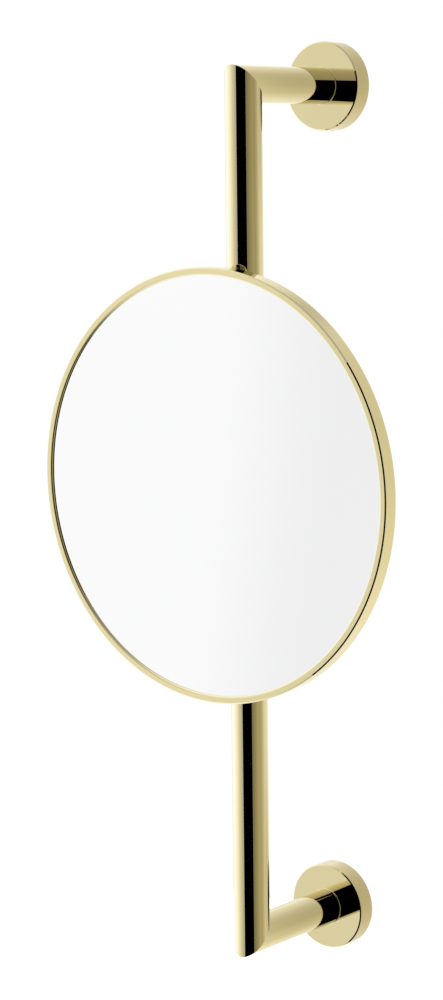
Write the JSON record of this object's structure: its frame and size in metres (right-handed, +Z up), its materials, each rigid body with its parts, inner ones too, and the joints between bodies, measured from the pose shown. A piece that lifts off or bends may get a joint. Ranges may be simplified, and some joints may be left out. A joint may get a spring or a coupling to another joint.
{
  "type": "cosmetic mirror",
  "caption": "Round cosmetic mirror in a slim gold rim that slides on an upright wall rail, swings round it and tilts on a hidden ball joint.",
  "frame": {"origin": "on the wall plane, midway between the two wall flanges, at the centre of the four wall screws", "axes": "+X right along the wall as seen by someone who faces it, +Y into the wall, +Z up along the rail; the object stands on the -Y side"},
  "size_m": [0.21, 0.103, 0.464],
  "materials": {
    "polished_gold": "polished pale gold",
    "raw_brass": "machined brass",
    "steel": "zinc-plated steel",
    "black_nylon": "black moulded nylon",
    "white_nylon": "natural moulded nylon",
    "felt_pad": "grey felt",
    "silvered_glass": "silvered mirror glass"
  },
  "bodies": {
    "wall_frame": {"upper_wall_plate": "steel", "lower_wall_plate": "steel", "upper_flange": "polished_gold", "lower_flange": "polished_gold", "flange_grub_screws": "steel", "upper_arm": "polished_gold", "lower_arm": "polished_gold", "upper_arm_plug": "raw_brass", "lower_arm_plug": "raw_brass", "arm_screws": "steel", "arm_lock_washers": "steel", "rail_tube": "polished_gold", "upper_corner_key": "raw_brass", "lower_corner_key": "raw_brass"},
    "glide": {"upper_glide_bush": "black_nylon", "lower_glide_bush": "black_nylon"},
    "collar": {"slider_collar": "polished_gold", "friction_pad": "white_nylon", "tension_screw": "steel"},
    "ball_stud": {"swivel_stud": "steel", "stud_washer": "black_nylon", "stud_ball": "steel"},
    "mirror_head": {"socket_hub": "polished_gold", "ball_seat": "white_nylon", "disc_spring": "steel", "socket_ring_nut": "steel", "hub_screws": "steel", "back_plate": "polished_gold", "spring_ring": "steel", "glass_pad": "felt_pad", "mirror_glass": "silvered_glass", "rim_ring": "polished_gold"}
  },
  "joints": [
    {"name": "slider_height", "type": "slide", "parent": "wall_frame", "child": "glide", "axis": [0, 0, 1], "range_m": [-0.202, 0.164]},
    {"name": "slider_swing", "type": "hinge", "parent": "glide", "child": "collar", "pos_m": [0, -0.072, 0.019], "axis": [0, 0, 1], "range_deg": [-45, 45]},
    {"name": "stud_turn", "type": "hinge", "parent": "collar", "child": "ball_stud", "pos_m": [0, -0.0915, 0.019], "axis": [0, -1, 0], "continuous": true},
    {"name": "mirror_tilt", "type": "hinge", "parent": "ball_stud", "child": "mirror_head", "pos_m": [0, -0.0915, 0.019], "axis": [1, 0, 0], "range_deg": [-7, 7]}
  ]
}
